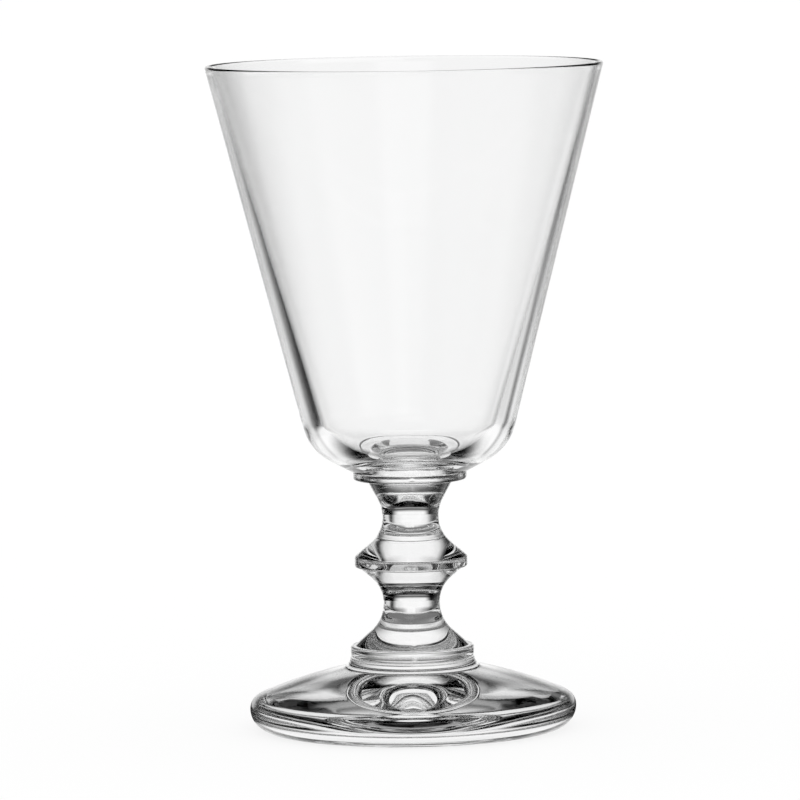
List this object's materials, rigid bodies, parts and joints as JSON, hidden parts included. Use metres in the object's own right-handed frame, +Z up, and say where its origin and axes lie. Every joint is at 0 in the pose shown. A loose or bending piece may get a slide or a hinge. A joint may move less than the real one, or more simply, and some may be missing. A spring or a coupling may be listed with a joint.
{
  "type": "water goblet",
  "caption": "Clear glass water goblet: tapered bowl on a knopped stem with a collar at each end, on a broad conical foot that is hollow underneath.",
  "frame": {"origin": "centre of the ring that the foot stands on", "axes": "+Z up along the axis of the stem; the goblet is round about +Z"},
  "size_m": [0.0952, 0.0952, 0.16],
  "materials": {
    "clear_glass": "polished"
  },
  "bodies": {
    "root": {"foot": "clear_glass", "foot_collar": "clear_glass", "stem": "clear_glass", "bowl_collar": "clear_glass", "bowl": "clear_glass"}
  },
  "joints": []
}
